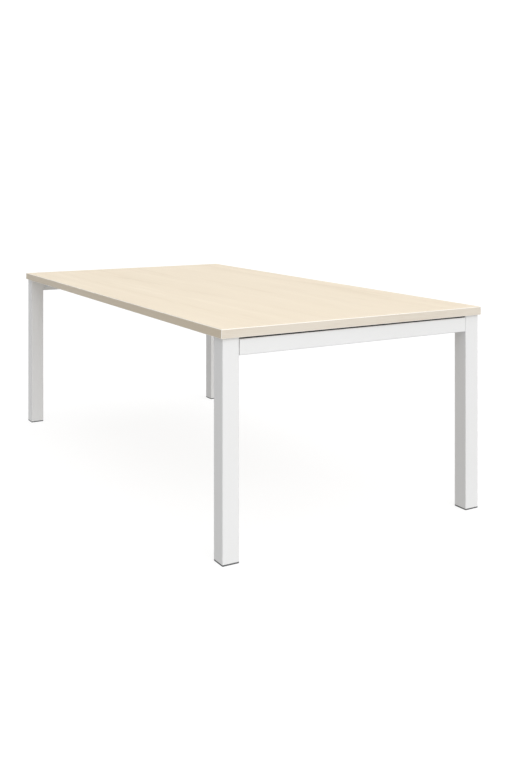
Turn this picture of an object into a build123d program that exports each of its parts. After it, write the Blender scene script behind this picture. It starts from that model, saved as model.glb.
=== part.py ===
from build123d import *
import os

# A rectangular hall table: an edged board on a bolted steel frame with four square legs.
# The origin is on the floor under the middle of the board. +X runs along the table, +Y to its
# rear and +Z up. All sizes are in millimetres.

# The whole table
table_length = 2100.0
table_width = 1080.0
table_height = 740.0
frame_overhang = 8.0

# The board and its edging
board_thickness = 30.0
band_thickness = 2.0
band_arris_radius = 1.8

# The steel tubes
tube_wall = 2.0
tube_radius = 3.0
leg_size = 60.0
rail_depth = 30.0
rail_height = 52.0
top_gap = 6.0
seam_gap = 1.0
beam_offset = 300.0

# The plastic cap on each leg
cap_thickness = 2.0
cap_skirt = 9.0
cap_wall = 2.2
insert_clearance = 0.1
insert_radius = 1.8

# The levelling feet
pad_height = 5.0
pad_chamfer = 0.8
pad_lower_lip = 1.2
pad_upper_lip = 0.7
stud_radius = 4.95
stud_top = 46.0
flange_radius = 8.0
flange_height = 2.5
flange_clearance = 0.3
socket_across_flats = 5.0
socket_depth = 4.5
key_hole_radius = 4.0
neck_hole_radius = 5.4
guide_pin_radius = 3.0
guide_pin_length = 18.0
guide_pin_offset = 17.0
plug_height = 30.0
plug_wall = 2.5
plug_rib_height = 22.0
boss_radius = 12.0
nut_across_flats = 16.0
nut_height = 8.4
nut_bore_radius = 5.0
nut_bottom = 24.0

# The pressed angle brackets
bracket_steel = 4.0
bracket_height = 44.0
short_wing = 28.0
long_wing = 62.0
short_wing_bolt = 16.0
short_wing_bolt_rise = 11.0
long_wing_bolts = (26.0, 48.0)
bend_radius = 6.0
bend_inner_radius = 2.0

# The bracket bolts and the rivet nuts that take them
bolt_radius = 3.95
bolt_length = 14.0
bolt_head_radius = 7.0
bolt_head_height = 3.8
bolt_head_taper = 30.0
bolt_socket_across_flats = 5.0
bolt_socket_depth = 2.4
bolt_hole_radius = 4.4
rivet_nut_radius = 5.45
rivet_nut_bore = 4.0
rivet_nut_length = 13.0
rivet_bulb_radius = 7.2
rivet_bulb_length = 3.0
rivet_hole_radius = 5.5

# The screws that hold the board, their inserts, and what fills the gap round them
screw_radius = 2.95
screw_reach = 20.0
screw_head_radius = 6.0
screw_head_height = 3.5
screw_hole_radius = 3.4
access_hole_radius = 7.5
insert_nut_radius = 5.0
insert_nut_bore = 3.0
insert_nut_length = 13.0
insert_hole_radius = 5.1
insert_hole_depth = 14.0
spacer_radius = 10.0
strip_setback = 3.0
rail_screw_offset = 362.0
beam_screw_offset = 700.0

# Worked out from the sizes above
half_length = table_length / 2
half_width = table_width / 2
board_bottom = table_height - board_thickness
leg_x = half_length - frame_overhang - leg_size / 2
leg_y = half_width - frame_overhang - leg_size / 2
leg_inner_y = leg_y - leg_size / 2
leg_bore = leg_size - 2 * tube_wall
insert_size = leg_bore - 2 * insert_clearance
leg_top = board_bottom - cap_thickness
rail_top = board_bottom - top_gap
rail_bottom = rail_top - rail_height
rail_middle = rail_top - rail_height / 2
rail_x = half_length - frame_overhang - rail_depth / 2
rail_inner_x = rail_x - rail_depth / 2
rail_length = 2 * (leg_inner_y - seam_gap)
beam_length = 2 * (rail_inner_x - seam_gap)
beam_inner_y = beam_offset - rail_depth / 2
bracket_bottom = rail_middle - bracket_height / 2
flange_bottom = pad_lower_lip + flange_clearance
flange_top = flange_bottom + flange_height

corners = {
    "front_left": (-1, -1),
    "front_right": (1, -1),
    "rear_left": (-1, 1),
    "rear_right": (1, 1),
}
ends = {"left": -1, "right": 1}
sides = {"front": -1, "rear": 1}

rail_screws = [(s * rail_x, y) for s in (-1, 1) for y in (-rail_screw_offset, 0, rail_screw_offset)]
beam_screws = [(x, s * beam_offset) for s in (-1, 1) for x in (-beam_screw_offset, 0, beam_screw_offset)]
all_screws = rail_screws + beam_screws

os.makedirs("parts", exist_ok=True)


# The board. Blind holes in its underside take the threaded inserts.

with BuildPart() as top_board:
    with BuildSketch(Plane.XY.offset(board_bottom)):
        Rectangle(table_length - 2 * band_thickness, table_width - 2 * band_thickness)
    extrude(amount=board_thickness)
    with BuildSketch(Plane.XY.offset(board_bottom)):
        with Locations(*all_screws):
            Circle(insert_hole_radius)
    extrude(amount=insert_hole_depth, mode=Mode.SUBTRACT)
top_board.part.label = "top_board"
export_step(top_board.part, "parts/top_board.step")


# The edging. The end bands run the full width and cover the ends of the side bands. Every arris
# that shows is rounded.

for end, end_sign in ends.items():
    band_x = end_sign * (half_length - band_thickness / 2)
    with BuildPart() as end_band:
        with BuildSketch(Plane((band_x, 0, board_bottom))):
            Rectangle(band_thickness, table_width)
        extrude(amount=board_thickness)
        glued_face = end_band.faces().sort_by(Axis.X, reverse=end_sign < 0)[0]
        fillet(end_band.edges() - glued_face.edges(), band_arris_radius)
    end_band.part.label = f"edge_band_{end}_end"
    export_step(end_band.part, f"parts/edge_band_{end}_end.step")

for side, side_sign in sides.items():
    band_y = side_sign * (half_width - band_thickness / 2)
    with BuildPart() as side_band:
        with BuildSketch(Plane((0, band_y, board_bottom))):
            Rectangle(table_length - 2 * band_thickness, band_thickness)
        extrude(amount=board_thickness)
        outer_face = side_band.faces().sort_by(Axis.Y, reverse=side_sign > 0)[0]
        fillet(outer_face.edges().filter_by(Axis.X), band_arris_radius)
    side_band.part.label = f"edge_band_{side}_side"
    export_step(side_band.part, f"parts/edge_band_{side}_side.step")


def tube_outline(width, height):
    """Draws the section of a square or rectangular tube in the sketch that is open."""
    RectangleRounded(width, height, tube_radius)
    RectangleRounded(
        width - 2 * tube_wall,
        height - 2 * tube_wall,
        tube_radius - tube_wall,
        mode=Mode.SUBTRACT,
    )


def vertical_screw_holes(places):
    """Cuts, for each board screw, its hole in a tube's top wall and the access hole in its bottom wall."""
    with BuildSketch(Plane.XY.offset(rail_top)) as screw_holes:
        with Locations(*places):
            Circle(screw_hole_radius)
    extrude(screw_holes.sketch, amount=-2 * tube_wall, mode=Mode.SUBTRACT)
    with BuildSketch(Plane.XY.offset(rail_bottom)) as access_holes:
        with Locations(*places):
            Circle(access_hole_radius)
    extrude(access_holes.sketch, amount=2 * tube_wall, mode=Mode.SUBTRACT)


# The bolt places. Each is a plane on a tube's face: its origin is the bolt's centre and its
# normal points out of the tube, towards the bolt's head.


def leg_bolt_places(x_sign, y_sign):
    """The two bolts of a corner bracket's short wing, one above the other in the leg."""
    x = x_sign * (rail_inner_x - short_wing_bolt)
    heights = (rail_middle - short_wing_bolt_rise, rail_middle + short_wing_bolt_rise)
    return [Plane((x, y_sign * leg_inner_y, z), z_dir=(0, -y_sign, 0)) for z in heights]


def rail_bolt_places(x_sign, y_sign):
    """The two bolts of a corner bracket's long wing, side by side in the end rail."""
    normal = (-x_sign, 0, 0)
    across = [y_sign * (leg_inner_y - reach) for reach in long_wing_bolts]
    return [Plane((x_sign * rail_inner_x, y, rail_middle), z_dir=normal) for y in across]


def beam_rail_bolt_places(x_sign, y_sign):
    """The two bolts of a beam bracket's short wing, one above the other in the end rail."""
    y = y_sign * (beam_inner_y - short_wing_bolt)
    heights = (rail_middle - short_wing_bolt_rise, rail_middle + short_wing_bolt_rise)
    return [Plane((x_sign * rail_inner_x, y, z), z_dir=(-x_sign, 0, 0)) for z in heights]


def beam_bolt_places(x_sign, y_sign):
    """The two bolts of a beam bracket's long wing, side by side in the beam."""
    normal = (0, -y_sign, 0)
    along = [x_sign * (rail_inner_x - reach) for reach in long_wing_bolts]
    return [Plane((x, y_sign * beam_inner_y, rail_middle), z_dir=normal) for x in along]


def bolt_holes(places, radius, depth):
    """Cuts one round hole at each bolt place, down into the tube's wall."""
    for place in places:
        with BuildSketch(place) as hole:
            Circle(radius)
        extrude(hole.sketch, amount=-depth, mode=Mode.SUBTRACT)


# The legs, one tube each, with the corner bracket's two holes in the wall that faces the other leg.

for corner, (x_sign, y_sign) in corners.items():
    with BuildPart() as leg_tube:
        with BuildSketch(Plane((x_sign * leg_x, y_sign * leg_y, pad_height))):
            tube_outline(leg_size, leg_size)
        extrude(amount=leg_top - pad_height)
        bolt_holes(leg_bolt_places(x_sign, y_sign), rivet_hole_radius, 2 * tube_wall)
    leg_tube.part.label = f"leg_tube_{corner}"
    export_step(leg_tube.part, f"parts/leg_tube_{corner}.step")


# A moulded cap closes each leg and carries the board. Its skirt fits inside the tube.

for corner, (x_sign, y_sign) in corners.items():
    cap_centre = (x_sign * leg_x, y_sign * leg_y, leg_top)
    with BuildPart() as leg_cap:
        with BuildSketch(Plane(cap_centre)):
            RectangleRounded(leg_size, leg_size, tube_radius)
        extrude(amount=cap_thickness)
        with BuildSketch(Plane(cap_centre)):
            RectangleRounded(insert_size, insert_size, insert_radius)
            Rectangle(insert_size - 2 * cap_wall, insert_size - 2 * cap_wall, mode=Mode.SUBTRACT)
        extrude(amount=-cap_skirt)
    leg_cap.part.label = f"leg_cap_{corner}"
    export_step(leg_cap.part, f"parts/leg_cap_{corner}.step")


# The end rails lie between the legs, flush with their outer faces. The beams join the end rails
# and are set in from the board's long sides. Both hang a small gap below the board.

for end, end_sign in ends.items():
    with BuildPart() as end_rail:
        with BuildSketch(Plane((end_sign * rail_x, 0, rail_middle), x_dir=(1, 0, 0), z_dir=(0, 1, 0))):
            tube_outline(rail_depth, rail_height)
        extrude(amount=rail_length / 2, both=True)
        vertical_screw_holes([place for place in rail_screws if place[0] * end_sign > 0])
        for side_sign in sides.values():
            rail_places = rail_bolt_places(end_sign, side_sign) + beam_rail_bolt_places(end_sign, side_sign)
            bolt_holes(rail_places, rivet_hole_radius, 2 * tube_wall)
    end_rail.part.label = f"end_rail_{end}"
    export_step(end_rail.part, f"parts/end_rail_{end}.step")

for side, side_sign in sides.items():
    with BuildPart() as beam:
        with BuildSketch(Plane((0, side_sign * beam_offset, rail_middle), x_dir=(0, 1, 0), z_dir=(1, 0, 0))):
            tube_outline(rail_depth, rail_height)
        extrude(amount=beam_length / 2, both=True)
        vertical_screw_holes([place for place in beam_screws if place[1] * side_sign > 0])
        for end_sign in ends.values():
            bolt_holes(beam_bolt_places(end_sign, side_sign), rivet_hole_radius, 2 * tube_wall)
    beam.part.label = f"beam_{side}"
    export_step(beam.part, f"parts/beam_{side}.step")


def angle_outline(bend, short_way, long_way):
    """Draws a bracket's L section from the corner that it fills, with its bend rounded."""
    reaches = (
        (0, 0),
        (short_wing, 0),
        (short_wing, bracket_steel),
        (bracket_steel, bracket_steel),
        (bracket_steel, long_wing),
        (0, long_wing),
    )
    points = [bend + short_way * short + long_way * long for short, long in reaches]
    with BuildLine() as outline:
        Polyline(*points, close=True)
    make_face(outline.edges())
    inner_bend = points[3]
    fillet(vertices().sort_by_distance(inner_bend)[0], bend_inner_radius)
    fillet(vertices().sort_by_distance(bend)[0], bend_radius)


# The angle brackets. A corner bracket ties a leg to its end rail, and a beam bracket ties a beam
# to an end rail. They are one pressing, used left-handed and right-handed.

for corner, (x_sign, y_sign) in corners.items():
    along_x = Vector(-x_sign, 0, 0)
    along_y = Vector(0, -y_sign, 0)

    with BuildPart() as corner_bracket:
        with BuildSketch(Plane.XY.offset(bracket_bottom)):
            angle_outline(Vector(x_sign * rail_inner_x, y_sign * leg_inner_y, 0), along_x, along_y)
        extrude(amount=bracket_height)
        places = leg_bolt_places(x_sign, y_sign) + rail_bolt_places(x_sign, y_sign)
        bolt_holes([place.offset(bracket_steel) for place in places], bolt_hole_radius, bracket_steel)
    corner_bracket.part.label = f"corner_bracket_{corner}"
    export_step(corner_bracket.part, f"parts/corner_bracket_{corner}.step")

    with BuildPart() as beam_bracket:
        with BuildSketch(Plane.XY.offset(bracket_bottom)):
            angle_outline(Vector(x_sign * rail_inner_x, y_sign * beam_inner_y, 0), along_y, along_x)
        extrude(amount=bracket_height)
        places = beam_rail_bolt_places(x_sign, y_sign) + beam_bolt_places(x_sign, y_sign)
        bolt_holes([place.offset(bracket_steel) for place in places], bolt_hole_radius, bracket_steel)
    beam_bracket.part.label = f"beam_bracket_{corner}"
    export_step(beam_bracket.part, f"parts/beam_bracket_{corner}.step")


def button_bolt(place):
    """Adds a socket button-head bolt on a bracket's face, with its shank down into the tube."""
    seat = place.offset(bracket_steel)
    with BuildSketch(seat) as head:
        Circle(bolt_head_radius)
    extrude(head.sketch, amount=bolt_head_height, taper=bolt_head_taper)
    with BuildSketch(seat) as shank:
        Circle(bolt_radius)
    extrude(shank.sketch, amount=-bolt_length)
    with BuildSketch(seat.offset(bolt_head_height)) as socket:
        RegularPolygon(bolt_socket_across_flats / 2, 6, major_radius=False)
    extrude(socket.sketch, amount=-bolt_socket_depth, mode=Mode.SUBTRACT)


def rivet_nut(place):
    """Adds a rivet nut, flush with the tube's face and gripped by a bulb behind its wall."""
    with BuildSketch(place) as body:
        Circle(rivet_nut_radius)
    extrude(body.sketch, amount=-rivet_nut_length)
    with BuildSketch(place.offset(-tube_wall)) as bulb:
        Circle(rivet_bulb_radius)
    extrude(bulb.sketch, amount=-rivet_bulb_length)
    with BuildSketch(place) as bore:
        Circle(rivet_nut_bore)
    extrude(bore.sketch, amount=-rivet_nut_length, mode=Mode.SUBTRACT)


corner_places = []
beam_places = []
for x_sign, y_sign in corners.values():
    corner_places += leg_bolt_places(x_sign, y_sign) + rail_bolt_places(x_sign, y_sign)
    beam_places += beam_rail_bolt_places(x_sign, y_sign) + beam_bolt_places(x_sign, y_sign)

for joint, places in (("corner", corner_places), ("beam", beam_places)):
    with BuildPart() as bolts:
        for place in places:
            button_bolt(place)
    bolts.part.label = f"{joint}_bolts"
    export_step(bolts.part, f"parts/{joint}_bolts.step")

    with BuildPart() as rivet_nuts:
        for place in places:
            rivet_nut(place)
    rivet_nuts.part.label = f"{joint}_rivet_nuts"
    export_step(rivet_nuts.part, f"parts/{joint}_rivet_nuts.step")


# The board's fixings: a screw inside the tube, packing in the gap and an insert in the board. The
# packing is one strip along each end rail, and a round spacer at each screw of the beams.

screw_seat = rail_top - tube_wall

with BuildPart() as top_screws:
    with BuildSketch(Plane.XY.offset(screw_seat)):
        with Locations(*all_screws):
            Circle(screw_head_radius)
    extrude(amount=-screw_head_height)
    with BuildSketch(Plane.XY.offset(screw_seat)):
        with Locations(*all_screws):
            Circle(screw_radius)
    extrude(amount=screw_reach)
    with BuildSketch(Plane.XY.offset(screw_seat - screw_head_height)):
        with Locations(*all_screws):
            RegularPolygon(socket_across_flats / 2, 6, major_radius=False)
    extrude(amount=bolt_socket_depth, mode=Mode.SUBTRACT)
top_screws.part.label = "top_screws"
export_step(top_screws.part, "parts/top_screws.step")

for end, end_sign in ends.items():
    with BuildPart() as gap_strip:
        with BuildSketch(Plane((end_sign * rail_x, 0, rail_top))):
            Rectangle(rail_depth - 2 * strip_setback, rail_length)
            with Locations(*[(0, y) for x, y in rail_screws if x * end_sign > 0]):
                Circle(screw_hole_radius, mode=Mode.SUBTRACT)
        extrude(amount=top_gap)
    gap_strip.part.label = f"gap_strip_{end}"
    export_step(gap_strip.part, f"parts/gap_strip_{end}.step")

with BuildPart() as gap_spacers:
    with BuildSketch(Plane.XY.offset(rail_top)):
        with Locations(*beam_screws):
            Circle(spacer_radius)
            Circle(screw_hole_radius, mode=Mode.SUBTRACT)
    extrude(amount=top_gap)
gap_spacers.part.label = "gap_spacers"
export_step(gap_spacers.part, "parts/gap_spacers.step")

with BuildPart() as board_inserts:
    with BuildSketch(Plane.XY.offset(board_bottom)):
        with Locations(*all_screws):
            Circle(insert_nut_radius)
            Circle(insert_nut_bore, mode=Mode.SUBTRACT)
    extrude(amount=insert_nut_length)
board_inserts.part.label = "board_inserts"
export_step(board_inserts.part, "parts/board_inserts.step")


# The levelling feet. A ribbed plug in each leg holds a nut. The stud turns in the nut, and its
# flange carries a square pad, which two guide pins keep in line with the leg.


def guide_pin_places(x, y):
    """The two guide pins stand on one diagonal of the foot."""
    return [(x - guide_pin_offset, y + guide_pin_offset), (x + guide_pin_offset, y - guide_pin_offset)]


for corner, (x_sign, y_sign) in corners.items():
    foot_x = x_sign * leg_x
    foot_y = y_sign * leg_y
    plug_inside = insert_size - 2 * plug_wall
    rib_base = Plane((foot_x, foot_y, pad_height + plug_wall))

    with BuildPart() as foot_plug:
        with BuildSketch(Plane((foot_x, foot_y, pad_height))):
            RectangleRounded(insert_size, insert_size, insert_radius)
        extrude(amount=plug_height)
        with BuildSketch(rib_base):
            Rectangle(plug_inside, plug_inside)
        extrude(amount=plug_height, mode=Mode.SUBTRACT)
        with BuildSketch(rib_base):
            Rectangle(plug_inside, plug_wall)
            Rectangle(plug_wall, plug_inside)
        extrude(amount=plug_rib_height)
        with BuildSketch(rib_base):
            Circle(boss_radius)
        extrude(amount=plug_height - plug_wall)
        with BuildSketch(rib_base):
            with Locations((-guide_pin_offset, guide_pin_offset), (guide_pin_offset, -guide_pin_offset)):
                Circle(guide_pin_radius + flange_clearance + tube_wall)
        extrude(amount=plug_rib_height)
        with BuildSketch(Plane.XY.offset(pad_height)):
            with Locations(*guide_pin_places(foot_x, foot_y)):
                Circle(guide_pin_radius + flange_clearance)
            with Locations((foot_x, foot_y)):
                Circle(neck_hole_radius)
        extrude(amount=plug_height, mode=Mode.SUBTRACT)
        with BuildSketch(Plane((foot_x, foot_y, nut_bottom))):
            RegularPolygon(nut_across_flats / 2, 6, major_radius=False)
        extrude(amount=plug_height, mode=Mode.SUBTRACT)
    foot_plug.part.label = f"foot_plug_{corner}"
    export_step(foot_plug.part, f"parts/foot_plug_{corner}.step")

    with BuildPart() as glide_pad:
        with BuildSketch(Plane((foot_x, foot_y, 0))):
            RectangleRounded(leg_size, leg_size, tube_radius)
        extrude(amount=pad_height)
        chamfer(glide_pad.faces().sort_by(Axis.Z)[0].edges(), pad_chamfer)
        with BuildSketch(Plane.XY.offset(pad_height)):
            with Locations(*guide_pin_places(foot_x, foot_y)):
                Circle(guide_pin_radius)
        extrude(amount=guide_pin_length)
        with BuildSketch(Plane((foot_x, foot_y, 0))):
            Circle(key_hole_radius)
        extrude(amount=pad_lower_lip, mode=Mode.SUBTRACT)
        with BuildSketch(Plane((foot_x, foot_y, pad_lower_lip))):
            Circle(flange_radius + flange_clearance)
        extrude(amount=pad_height - pad_lower_lip - pad_upper_lip, mode=Mode.SUBTRACT)
        with BuildSketch(Plane((foot_x, foot_y, pad_height))):
            Circle(neck_hole_radius)
        extrude(amount=-pad_upper_lip, mode=Mode.SUBTRACT)
    glide_pad.part.label = f"glide_pad_{corner}"
    export_step(glide_pad.part, f"parts/glide_pad_{corner}.step")

    with BuildPart() as levelling_stud:
        with BuildSketch(Plane((foot_x, foot_y, flange_bottom))):
            Circle(flange_radius)
        extrude(amount=flange_height)
        with BuildSketch(Plane((foot_x, foot_y, flange_top))):
            Circle(stud_radius)
        extrude(amount=stud_top - flange_top)
        chamfer(levelling_stud.faces().sort_by(Axis.Z)[-1].edges(), pad_chamfer)
        with BuildSketch(Plane((foot_x, foot_y, flange_bottom))):
            RegularPolygon(socket_across_flats / 2, 6, major_radius=False)
        extrude(amount=socket_depth, mode=Mode.SUBTRACT)
    levelling_stud.part.label = f"levelling_stud_{corner}"
    export_step(levelling_stud.part, f"parts/levelling_stud_{corner}.step")

with BuildPart() as foot_nuts:
    with BuildSketch(Plane.XY.offset(nut_bottom)):
        with GridLocations(2 * leg_x, 2 * leg_y, 2, 2):
            RegularPolygon(nut_across_flats / 2, 6, major_radius=False)
            Circle(nut_bore_radius, mode=Mode.SUBTRACT)
    extrude(amount=nut_height)
foot_nuts.part.label = "foot_nuts"
export_step(foot_nuts.part, "parts/foot_nuts.step")
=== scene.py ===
# %% [markdown]
# # Finishing a hall table
# The table is a pale maple-coloured board on a white steel frame. Its parts, sizes and moving
# feet come from a imported model, which this script loads and never moves. Blender's share is what
# the eye reads up close: the edging's rounded arris, the tubes' soft corners, the threads, the
# printed grain and the paint. The imported box is measured first, and its size is printed.

# %% Load the imported table
import bpy
import bmesh
import math
from mathutils import Matrix, Vector


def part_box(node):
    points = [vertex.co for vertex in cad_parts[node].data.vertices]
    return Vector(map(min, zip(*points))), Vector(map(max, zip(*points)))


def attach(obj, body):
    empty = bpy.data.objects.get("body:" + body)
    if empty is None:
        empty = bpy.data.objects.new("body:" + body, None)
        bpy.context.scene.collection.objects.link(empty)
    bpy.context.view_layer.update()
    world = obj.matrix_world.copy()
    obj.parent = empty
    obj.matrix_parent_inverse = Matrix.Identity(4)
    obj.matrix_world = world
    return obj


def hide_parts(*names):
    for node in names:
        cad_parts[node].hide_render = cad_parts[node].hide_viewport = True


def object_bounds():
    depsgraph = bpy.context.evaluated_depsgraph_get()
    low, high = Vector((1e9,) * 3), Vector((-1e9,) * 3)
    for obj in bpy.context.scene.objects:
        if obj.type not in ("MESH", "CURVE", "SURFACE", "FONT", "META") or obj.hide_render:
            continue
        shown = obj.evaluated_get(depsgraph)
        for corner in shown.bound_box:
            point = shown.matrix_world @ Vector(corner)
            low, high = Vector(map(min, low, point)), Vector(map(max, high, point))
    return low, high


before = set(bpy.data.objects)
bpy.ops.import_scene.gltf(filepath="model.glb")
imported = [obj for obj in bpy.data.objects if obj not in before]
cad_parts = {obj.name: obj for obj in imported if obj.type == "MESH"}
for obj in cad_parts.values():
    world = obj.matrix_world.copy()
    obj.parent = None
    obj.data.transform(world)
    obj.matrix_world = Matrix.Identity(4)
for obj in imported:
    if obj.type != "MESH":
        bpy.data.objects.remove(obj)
packed_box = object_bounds()

# %% [markdown]
# The workshop measures in millimetres and Blender in metres, so one factor turns the first into
# the second. The names of the corners, ends and sides repeat through the whole script.

# %% Units and names
MM = 0.001
FRAME_BODY = "table_frame"
CORNERS = ("front_left", "front_right", "rear_left", "rear_right")
ENDS = ("left", "right")
SIDES = ("front", "rear")
table_low, table_high = packed_box
table_size = table_high - table_low
print("table in mm:", [round(side / MM) for side in table_size])

# %% [markdown]
# ## Camera
# A camera that looks level keeps every leg upright, as an architect's view camera does. The table
# stands below its horizon, so the lens is shifted down instead of the camera being tilted. The
# camera stands off the right-hand end, at about the eye height of somebody who sits. Its far clip
# reaches past the backdrop.

# %% Camera
CAMERA_DISTANCE = 4.077
CAMERA_AZIMUTH = math.radians(62.27)
CAMERA_HEIGHT = 1.195
CAMERA_TURN = math.radians(-2.33)
LENS_MM = 43.8
SHIFT_DOWN = 0.262
FAR_CLIP = 400

camera_data = bpy.data.cameras.new("camera")
camera_data.lens = LENS_MM
camera_data.shift_y = -SHIFT_DOWN
camera_data.clip_end = FAR_CLIP
camera = bpy.data.objects.new("camera", camera_data)
camera.location = (
    CAMERA_DISTANCE * math.sin(CAMERA_AZIMUTH),
    -CAMERA_DISTANCE * math.cos(CAMERA_AZIMUTH),
    CAMERA_HEIGHT,
)
camera.rotation_euler = (math.pi / 2, 0, CAMERA_AZIMUTH + CAMERA_TURN)
bpy.context.scene.collection.objects.link(camera)
bpy.context.scene.camera = camera
print("camera at", [round(x, 3) for x in camera.location])

# %% [markdown]
# ## Colours
# Colours are written as the hex values that a paint chart or a colour picker gives, which are
# sRGB. The shader works in linear light, so one function does the change for all of them. Its
# numbers are those of the sRGB standard: a straight toe for the darkest tones, then a power curve.

# %% Hex to linear
def linear(hex_colour):
    """Turns an sRGB hex colour into the linear RGBA that a shader socket takes."""
    colour = []
    for i in (1, 3, 5):
        c = int(hex_colour[i : i + 2], 16) / 255
        colour.append(c / 12.92 if c <= 0.04045 else ((c + 0.055) / 1.055) ** 2.4)
    return (*colour, 1.0)


print("half grey in linear light:", round(linear("#808080")[0], 3))

# %% [markdown]
# Every material below is a small node tree. One helper adds a node: it sets the node's own
# settings, then gives each input either a value or a link from another node's output.

# %% The node helper
def add(tree, kind, inputs=None, **settings):
    """Adds a node with its settings, and sets or links the inputs that are named."""
    node = tree.nodes.new(kind)
    for name, value in settings.items():
        setattr(node, name, value)
    for socket, value in (inputs or {}).items():
        if isinstance(value, bpy.types.NodeSocket):
            tree.links.new(value, node.inputs[socket])
        else:
            node.inputs[socket].default_value = value
    return node


def new_material(name):
    """Starts a material and returns it with its tree, its shader and its object coordinates."""
    material = bpy.data.materials.new(name)
    material.use_nodes = True
    tree = material.node_tree
    shader = tree.nodes["Principled BSDF"]
    place = add(tree, "ShaderNodeTexCoord").outputs["Object"]
    return material, tree, shader, place


print("helper ready")

# %% [markdown]
# ## Studio
# The table is shown as in a catalogue: a pale floor that runs into a white backdrop, and soft
# light. The floor glows by itself, as a lit acrylic sweep does, so that the table's shadow on it
# stays faint, and it lights nothing, which keeps the underside in shade. It goes down with one
# foot, because a foot is wound out downwards and the floor must stay under it. The backdrop is a
# dome that only stands behind the table.

# %% Floor and backdrop
STUDIO_RADIUS = 90.0
STAGE_ROUGHNESS = 0.9
STAGE_SPECULAR = 0.1
FLOOR_GLOW = 0.83
BACKDROP_GLOW = 1.0


def stage_material(name, hex_colour, glow):
    """A matte studio paint, which may glow by itself."""
    material, _, shader, _ = new_material(name)
    shader.inputs["Base Color"].default_value = linear(hex_colour)
    shader.inputs["Roughness"].default_value = STAGE_ROUGHNESS
    shader.inputs["Specular IOR Level"].default_value = STAGE_SPECULAR
    shader.inputs["Emission Color"].default_value = (1, 1, 1, 1)
    shader.inputs["Emission Strength"].default_value = glow
    return material


def stage_object(name, shape, material):
    """Links a stage piece with its material to the scene."""
    mesh = bpy.data.meshes.new(name)
    shape.to_mesh(mesh)
    shape.free()
    mesh.materials.append(material)
    piece = bpy.data.objects.new(name, mesh)
    bpy.context.scene.collection.objects.link(piece)
    return piece


floor_shape = bmesh.new()
bmesh.ops.create_circle(floor_shape, cap_ends=True, segments=96, radius=STUDIO_RADIUS)
floor_paint = stage_material("studio_floor", "#7C7C7C", FLOOR_GLOW)
floor = stage_object("floor", floor_shape, floor_paint)
floor.visible_diffuse = False
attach(floor, "glide_front_right")

dome_shape = bmesh.new()
bmesh.ops.create_uvsphere(dome_shape, u_segments=64, v_segments=32, radius=STUDIO_RADIUS)
backdrop_paint = stage_material("studio_backdrop", "#FFFFFF", BACKDROP_GLOW)
backdrop = stage_object("backdrop", dome_shape, backdrop_paint)
backdrop.visible_diffuse = False
backdrop.visible_glossy = False
backdrop.visible_transmission = False
backdrop.visible_shadow = False
print("stage:", floor.name, backdrop.name)

# %% [markdown]
# Suns with a wide angle give the same soft light everywhere. The key sun comes from the right-hand
# end, so the end frame is bright and the long side is in gentle shade, and a second sun lights the
# board from above. A large soft box stands nearer, so its light fades with distance, which leaves
# the far end of the table a little darker and gives the scene its depth. It is large and dim,
# because a small bright one would show as glare on the board. A sky fills the rest: it is brighter
# towards the rear, in a ramp along the Y axis of the room.

# %% Lights
SKY_FRONT = 0.42
SKY_REAR = 0.62


def towards_light(azimuth, elevation):
    """The direction to a light; azimuth 0 is the table's front and 90 its right-hand end."""
    a = math.radians(azimuth)
    e = math.radians(elevation)
    return Vector((math.sin(a) * math.cos(e), -math.cos(a) * math.cos(e), math.sin(e)))


def soft_sun(name, azimuth, elevation, strength, softness):
    """A sun that shines from an azimuth and elevation in degrees; softness is its angle."""
    lamp = bpy.data.lights.new(name, "SUN")
    lamp.energy = strength
    lamp.angle = math.radians(softness)
    sun = bpy.data.objects.new(name, lamp)
    sun.rotation_euler = towards_light(azimuth, elevation).to_track_quat("Z", "Y").to_euler()
    bpy.context.scene.collection.objects.link(sun)


def soft_box(name, azimuth, elevation, distance, size, power):
    """A square soft box that faces the table from some metres away, and fades with distance."""
    lamp = bpy.data.lights.new(name, "AREA")
    lamp.shape = "SQUARE"
    lamp.size = size
    lamp.energy = power
    box = bpy.data.objects.new(name, lamp)
    facing = towards_light(azimuth, elevation)
    box.location = facing * distance
    box.rotation_euler = facing.to_track_quat("Z", "Y").to_euler()
    box.visible_camera = False
    bpy.context.scene.collection.objects.link(box)


soft_sun("key", azimuth=100, elevation=25, strength=0.86, softness=50)
soft_sun("top", azimuth=100, elevation=75, strength=1.58, softness=90)
soft_box("near_box", azimuth=65, elevation=25, distance=4.5, size=4.5, power=27)

world = bpy.data.worlds.new("sky")
world.use_nodes = True
sky = world.node_tree.nodes["Background"]
sky.inputs["Color"].default_value = (1, 1, 1, 1)
direction = add(world.node_tree, "ShaderNodeTexCoord").outputs["Generated"]
axes = add(world.node_tree, "ShaderNodeSeparateXYZ", {"Vector": direction})
brightness = add(
    world.node_tree,
    "ShaderNodeMapRange",
    {"Value": axes.outputs["Y"], "From Min": -1.0, "To Min": SKY_FRONT, "To Max": SKY_REAR},
)
world.node_tree.links.new(brightness.outputs["Result"], sky.inputs["Strength"])
bpy.context.scene.world = world
bpy.context.scene.view_settings.view_transform = "Standard"

# %% [markdown]
# ## Maple melamine
# The board is chipboard with a melamine face: paper printed with maple grain, soaked in resin and
# pressed hot against a steel plate with a fine pearl texture. To the eye it is a pale, even
# surface with long soft streaks along the table, faint fibres, and a sheen that is softer than
# varnish. Where the print shows a plank that was cut flat, its year rings make long pointed
# flames. A picture of wood would repeat and blur, and layered noise stretched along the grain
# doesn't: three layers give streaks, bands and fibres, and a fourth, whose rings are very long
# ellipses, gives the flames. A real fibre is a few tenths of a millimetre wide, too fine to show
# on a whole table, so the fibres are drawn 2.4 mm wide. The same print is used for the edging,
# which is extruded ABS, so one function makes both, with the grain along either axis.

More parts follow.
